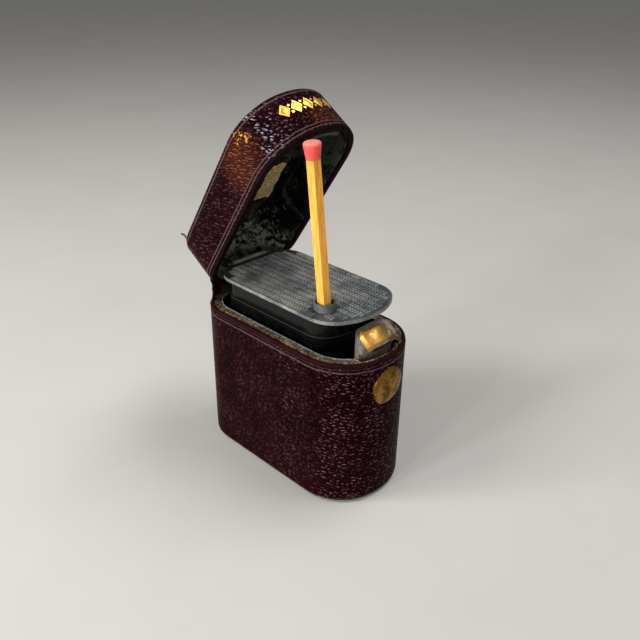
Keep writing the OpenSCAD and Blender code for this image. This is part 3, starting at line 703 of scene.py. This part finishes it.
def facesUp(face):
    return face.normal.z > 0.9


def apply(piece, kind, **settings):
    pick(piece)
    tool = piece.modifiers.new(kind.lower(), kind)
    for key, value in settings.items():
        setattr(tool, key, value)
    bpy.ops.object.modifier_apply(modifier=tool.name)


def alikeFaces(piece, outward):  # faces agree, and most of them point outward
    choose(piece)
    bpy.ops.mesh.normals_make_consistent(inside=False)
    leave()
    if sum(outward(face) for face in piece.data.polygons) < 0:
        choose(piece)
        bpy.ops.mesh.flip_normals()
        leave()


def gridSheet(name, steps, spot):  # a grid whose points are laid out by spot(u, v)
    bpy.ops.object.select_all(action="DESELECT")
    bpy.ops.mesh.primitive_grid_add(x_subdivisions=steps[0], y_subdivisions=steps[1], size=1)
    piece = bpy.context.object
    piece.name = name
    for v in piece.data.vertices:
        v.co = spot(v.co.x + 0.5, v.co.y + 0.5)
    return piece


def merge(piece, distance=0.000001):
    choose(piece)
    bpy.ops.mesh.remove_doubles(threshold=distance)
    leave()


def finishPiece(piece, body, paint, replaced, smoothAngle):
    dress(piece, paint)
    pick(piece)
    bpy.ops.object.transform_apply(location=True, rotation=True, scale=True)
    bpy.ops.object.shade_smooth_by_angle(angle=math.radians(smoothAngle))
    if body:
        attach(piece, body)
    if replaced:
        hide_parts(*replaced)


def cadCopy(node, name):  # a node's mesh as one closed shell, to cut
    piece = nodes[node].copy()
    piece.data = nodes[node].data.copy()
    bpy.context.collection.objects.link(piece)
    piece.parent = None
    piece.name = name
    merge(piece)
    return piece


def joined(pieces):
    bpy.ops.object.select_all(action="DESELECT")
    for piece in pieces:
        piece.select_set(True)
    bpy.context.view_layer.objects.active = pieces[0]
    bpy.ops.object.join()
    return bpy.context.object


# striking plate: a bowed sheet with rows of short raised strokes
striker = {
    "thick": 0.0008, "corners": 120, "edge": 0.00014, "edgeDip": 0.3, "endsFrom": -0.01995,
    "margin": 0.00122, "start": 0.002, "pitch": 0.00082, "row": 0.00192, "clear": 0.0031,
    "length": 0.00172, "width": 0.00044, "height": 0.0002, "sunk": 0.0001,
    "crown": (0.35, 0.9, 1), "lean": 0.00012, "leanScale": 300,
    "finishes": ("plateTin", "edgeHighlightTin", "strokeHighlightTin"),
}
strikerTop = boxHigh.z + striker["thick"]


def plateSheet(s):
    at, total = along(platePlan)
    bpy.ops.object.select_all(action="DESELECT")
    bpy.ops.mesh.primitive_circle_add(vertices=s["corners"], radius=0.01, fill_type="NGON")
    sheet = bpy.context.object
    for v in sheet.data.vertices:
        spot = at(v.index / s["corners"] * total)[0]
        v.co = (spot.x, spot.y, strikerTop - s["thick"])
    choose(sheet)
    bpy.ops.mesh.extrude_region_move(TRANSFORM_OT_translate={"value": (0, 0, s["thick"])})
    bpy.ops.mesh.select_all(action="SELECT")
    bpy.ops.mesh.normals_make_consistent(inside=False)
    leave()
    choose(sheet, facesUp)
    bpy.ops.mesh.inset(thickness=s["edge"])
    bpy.ops.transform.translate(value=(0, 0, -s["edge"] * s["edgeDip"]))
    leave()
    dress(sheet, *s["finishes"])
    # the sides and the inset ring of the top get the pale edge tin: a painted highlight along the
    # edge
    for face in sheet.data.polygons:  # the top and the bottom are one face each
        face.material_index = 0 if len(face.vertices) == s["corners"] else 1
    return sheet


def plateEnds(s):  # the hinge knuckles behind the sheet, as the frame has them
    ends = cadCopy("striking_plate", "strikerEnds")
    choose(ends)
    bpy.ops.mesh.bisect(plane_co=(s["endsFrom"], 0, 0), plane_no=(1, 0, 0), use_fill=True,
                        clear_outer=True, clear_inner=False)
    leave()
    dress(ends, "plateTin")
    return ends


def plateStrokes(s):
    bpy.ops.object.select_all(action="DESELECT")
    bpy.ops.mesh.primitive_cube_add(size=1, location=(0, 0, 0))
    stroke = bpy.context.object
    stroke.scale = (s["width"], s["length"], s["height"] + s["sunk"])
    bpy.ops.object.transform_apply(scale=True)
    choose(stroke, facesUp)
    bpy.ops.transform.resize(value=s["crown"])
    leave()
    edge = outline(platePlan, 12)
    rows = int(2 * platePlan["half"] / s["row"])
    columns = int((platePlan["front"] - platePlan["back"]) / s["pitch"])
    strokes = []
    for j in range(rows):
        y = (j - (rows - 1) / 2) * s["row"]
        for i in range(columns):
            x = platePlan["back"] + s["start"] + i * s["pitch"]
            onPlate = all((x - p[0]) * n[0] + (y - p[1]) * n[1] <= -s["margin"] for p, n in edge)
            if math.dist((x, y), socketMiddle.xy) < s["clear"] or not onPlate:
                continue
            lean = noise.noise(Vector((x * s["leanScale"], y * s["leanScale"], 3))) * s["lean"]
            copy = stroke.copy()
            copy.data = stroke.data.copy()
            copy.location = (x + lean, y, strikerTop + (s["height"] - s["sunk"]) / 2)
            bpy.context.collection.objects.link(copy)
            strokes.append(copy)
    bpy.data.objects.remove(stroke)
    print("striking plate:", len(strokes), "strokes")
    raised = joined(strokes)
    bpy.ops.object.transform_apply(location=True, rotation=True, scale=True)
    dress(raised, *s["finishes"])
    # the tops of the strokes get the pale stroke tin: a painted highlight
    for face in raised.data.polygons:
        face.material_index = 2 if face.normal.z > 0.3 else 0
    return raised


def makeStriker(s):
    plate = joined([plateSheet(s), plateEnds(s), plateStrokes(s)])
    plate.name = "strikerTop"
    bpy.ops.object.shade_smooth_by_angle(angle=math.radians(30))
    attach(plate, "case")
    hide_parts("striking_plate")


makeStriker(striker)


# leather web that hinges the lid to the case, all round the back
web = {
    "steps": (96, 22), "reach": 0.0128, "low": 0.0371, "shutMid": 0.0456, "shutSide": 0.0397,
    "thick": 0.00035, "middle": (0.0058, 0.0076), "lowProud": 0.00022, "highProud": 0.00024,
    "rollX": -0.0281, "rollZ": 0.0414, "tuck": 0.0007, "crumple": 0.0006, "calm": 0.6,
    "waves": [(420, 5, 1.7, 0.5), (900, 11, 7.1, 0.25)],  # along, across, where, how strong
}


def makeWeb(s):
    at = along(casePlan)[0]

    def spot(u, v):
        distance = (u * 2 - 1) * s["reach"]
        point, normal = at(-distance)
        middle = 1 - smooth(abs(point.y), *s["middle"])
        low = point + normal * s["lowProud"] + Vector((0, 0, s["low"]))
        lift = s["shutSide"] + (s["shutMid"] - s["shutSide"]) * middle
        high = opened(point + normal * s["highProud"] + Vector((0, 0, lift)))
        roll = Vector((s["rollX"], point.y, s["rollZ"]))
        bend = roll * middle + ((low + high) / 2 - normal * s["tuck"]) * (1 - middle)
        control = bend * 2 - (low + high) / 2
        curved = low * (1 - v) ** 2 + control * 2 * v * (1 - v) + high * v * v
        wave = sum(noise.noise(Vector((distance * a, v * b, c))) * d for a, b, c, d in s["waves"])
        fade = math.sin(math.pi * v) * (1 - s["calm"] * middle)
        return curved + normal * wave * s["crumple"] * fade

    sheet = gridSheet("hingeWeb", s["steps"], spot)
    alikeFaces(sheet, lambda f: -f.normal.x)
    apply(sheet, "SOLIDIFY", thickness=s["thick"], offset=-1)
    apply(sheet, "SUBSURF", levels=1, render_levels=1)
    finishPiece(sheet, None, "webLeather", ["hinge_flap"], smoothAngle=60)
    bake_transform(sheet)
    print("hinge web made")


makeWeb(web)


# lid lining: black glazed paper, crumpled against the wood
lining = {
    "steps": (150, 60), "weld": 0.000002,
    "inset": 0.0015, "low": 0.03902, "roof": 0.04878, "round": 0.0008, "thick": 0.0001,
    "wall": 0.42, "bend": 0.10, "middleX": 0.002, "off": 0.00004,
    "crumples": 260, "finer": 2.3, "sharp": 2.2, "finerShare": 0.3, "roofRoom": 0.0006,
    "wallRoom": 0.00016, "calm": 0.1, "backFrom": (-0.0225, -0.0205), "frontFrom": (0.021, 0.0225),
    "roofFrom": (0.0466, 0.0478), "socketClear": (0.0030, 0.0055), "inside": (-0.012, 0, 0.066),
}


def makeLining(s):
    at, total = along(casePlan)
    up = Vector((0, 0, 1))

    def profile(v):  # height, further inset, shrink, and how far the paper faces down
        top = s["roof"] - s["round"]
        if v < s["wall"]:
            return s["low"] + (top - s["low"]) * v / s["wall"], 0, 1, 0
        if v < s["wall"] + s["bend"]:
            a = (v - s["wall"]) / s["bend"] * math.pi / 2
            return top + s["round"] * math.sin(a), s["round"] * (1 - math.cos(a)), 1, a
        flat = s["wall"] + s["bend"]
        return s["roof"], s["round"], 1 - (v - flat) / (1 - flat), math.pi / 2

    def ridges(q):
        return 1 - abs(noise.noise(q)) * s["sharp"]

    def spot(u, v):
        point, normal = at(u * total)
        height, inset, shrink, down = profile(v)
        inward = -normal * math.cos(down) - up * math.sin(down)
        edge = point - normal * (s["inset"] + inset)
        place = Vector((edge.x * shrink + s["middleX"] * (1 - shrink), edge.y * shrink, height))
        q = place * s["crumples"]
        crumple = ridges(q) * (1 - s["finerShare"]) + ridges(q * s["finer"]) * s["finerShare"]
        room = s["roofRoom"] if inward.z < -0.5 else s["wallRoom"]
        free = smooth(place.x, *s["backFrom"]) * (1 - smooth(place.x, *s["frontFrom"]))
        free = max(free, smooth(height, *s["roofFrom"]))
        free *= smooth(math.dist(place.xy, socketMiddle.xy), *s["socketClear"])
        stand = max(crumple, 0) * room * (s["calm"] + (1 - s["calm"]) * free)
        return opened(place + inward * (stand + s["off"]))

    sheet = gridSheet("lidPaper", s["steps"], spot)
    merge(sheet, s["weld"])
    alikeFaces(sheet, lambda f: f.normal.dot(Vector(s["inside"]) - f.center))
    apply(sheet, "SOLIDIFY", thickness=s["thick"], offset=-1)
    finishPiece(sheet, "lid", "lining", ["lid_lining"], smoothAngle=180)
    print("lid lining made")


makeLining(lining)


# gilt tooling on the front of the lid: plain lozenges with dots between them
tooling = {
    "height": 0.04555, "count": 5, "pitch": 0.0031, "wide": 0.0028, "tall": 0.0034,
    "thick": 0.00004, "proud": 0.00001, "dotWide": 0.00064, "dotRise": 0.0009, "dotCorners": 10,
    "rings": [(0.00016, 0), (0.000096, -0.000032), (0.00008, 0.000032)],  # width, step
}


def makeTooling(s):
    at, total = along(casePlan)
    gilt = []

    def cutOut(wide, tall, corners):  # a thin flat shape with its corners on a circle
        bpy.ops.object.select_all(action="DESELECT")
        bpy.ops.mesh.primitive_cylinder_add(vertices=corners, radius=0.5, depth=s["thick"],
                                            end_fill_type="NGON")
        shape = bpy.context.object
        choose(shape)
        bpy.ops.transform.resize(value=(wide, tall, 1))
        leave()
        return shape

    def lozenge():  # with a fine groove inside its edge
        shape = cutOut(s["wide"], s["tall"], 4)
        choose(shape)
        bpy.ops.mesh.subdivide(number_cuts=1)
        leave()
        choose(shape, facesUp)
        for width, step in s["rings"]:
            bpy.ops.mesh.inset(thickness=width, depth=step)
        leave()
        return shape

    def stamp(shape, side, rise=0):  # bows a shape round the front and opens it with the lid
        for v in shape.data.vertices:
            point, normal = at(total / 2 + side + v.co.x)
            spot = point + normal * (v.co.z + s["proud"])
            v.co = opened(Vector((spot.x, spot.y, s["height"] + rise + v.co.y)))
        gilt.append(shape)

    for i in range(s["count"]):
        side = (i - (s["count"] - 1) / 2) * s["pitch"]
        stamp(lozenge(), side)
        if i < s["count"] - 1:
            for rise in (-s["dotRise"], s["dotRise"]):
                dot = cutOut(s["dotWide"], s["dotWide"], s["dotCorners"])
                stamp(dot, side + s["pitch"] / 2, rise)
    leaf = joined(gilt)
    leaf.name = "giltTooling"
    finishPiece(leaf, "lid", "giltLeaf", (), smoothAngle=30)
    print("gilt tooling made")


makeTooling(tooling)


# brass face of the catch: a hammered sheet let into its slope
facing = {
    "steps": (7, 9), "back": 0.01985, "front": 0.02366, "half": 0.0047, "top": 0.0399,
    "end": 0.0238, "slope": math.radians(37), "proud": 0.00022, "thick": 0.00012,
    "sunk": 0.00004, "taper": 0.0012, "taperFrom": 0.6, "edge": 9,
    "dent": 1.6, "dentScale": (2.7, 3.9), "dentWhere": 2.2,
}


def makeFacing(s):
    def spot(u, v):
        x = s["back"] + (s["front"] - s["back"]) * u
        y = (v * 2 - 1) * (s["half"] - s["taper"] * smooth(1 - u, s["taperFrom"], 1) ** 2)
        z = s["top"] + (s["end"] - x) * math.tan(s["slope"])
        rim = min(min(u, 1 - u, v, 1 - v) * s["edge"], 1)
        place = Vector((u * s["dentScale"][0], v * s["dentScale"][1], s["dentWhere"]))
        rise = s["proud"] * rim * (1 + s["dent"] * noise.noise(place)) - s["sunk"] * (1 - rim)
        return Vector((x + rise * math.sin(s["slope"]), y, z + rise * math.cos(s["slope"])))

    sheet = gridSheet("catchFacing", s["steps"], spot)
    alikeFaces(sheet, lambda f: f.normal.z)
    apply(sheet, "SOLIDIFY", thickness=s["thick"], offset=-1)
    finishPiece(sheet, "catch", "catchGold", (), smoothAngle=12)
    print("catch facing made")


makeFacing(facing)


# frayed end of the lid's leather, at its back corner
fray = {
    "root": (-0.0176, -0.01345, 0.0493), "aim": (-1, -0.12, 0.28), "length": 0.0027,
    "thick": 0.00055, "sides": 8, "cuts": 5, "rootThick": 1.15, "thinning": 0.75, "ragged": 0.35,
    "raggedScale": 2600, "flat": (1.5, 0.6), "sway": 0.0004, "swayTurn": 3.4, "droop": 0.0003,
}


def makeFray(s):
    bpy.ops.object.select_all(action="DESELECT")
    bpy.ops.mesh.primitive_cylinder_add(vertices=s["sides"], radius=s["thick"] / 2,
                                        depth=s["length"], end_fill_type="NGON")
    piece = bpy.context.object
    piece.name = "frayedEnd"
    choose(piece, lambda f: abs(f.normal.z) < 0.5)
    bpy.ops.mesh.subdivide(number_cuts=s["cuts"])
    leave()
    root = opened(s["root"])
    lie = Vector(s["aim"]).normalized().to_track_quat("Z", "X")
    for v in piece.data.vertices:
        t = v.co.z / s["length"] + 0.5
        ragged = noise.noise(v.co * s["raggedScale"]) * s["ragged"]
        thin = s["rootThick"] - s["thinning"] * t + ragged
        place = Vector((v.co.x * thin * s["flat"][0], v.co.y * thin * s["flat"][1],
                        s["length"] * t))
        bend = Vector((s["sway"] * math.sin(t * s["swayTurn"]), s["droop"] * t * t, 0))
        v.co = root + lie @ (place + bend)
    finishPiece(piece, "lid", "webLeather", (), smoothAngle=60)
    print("frayed end made")


makeFray(fray)
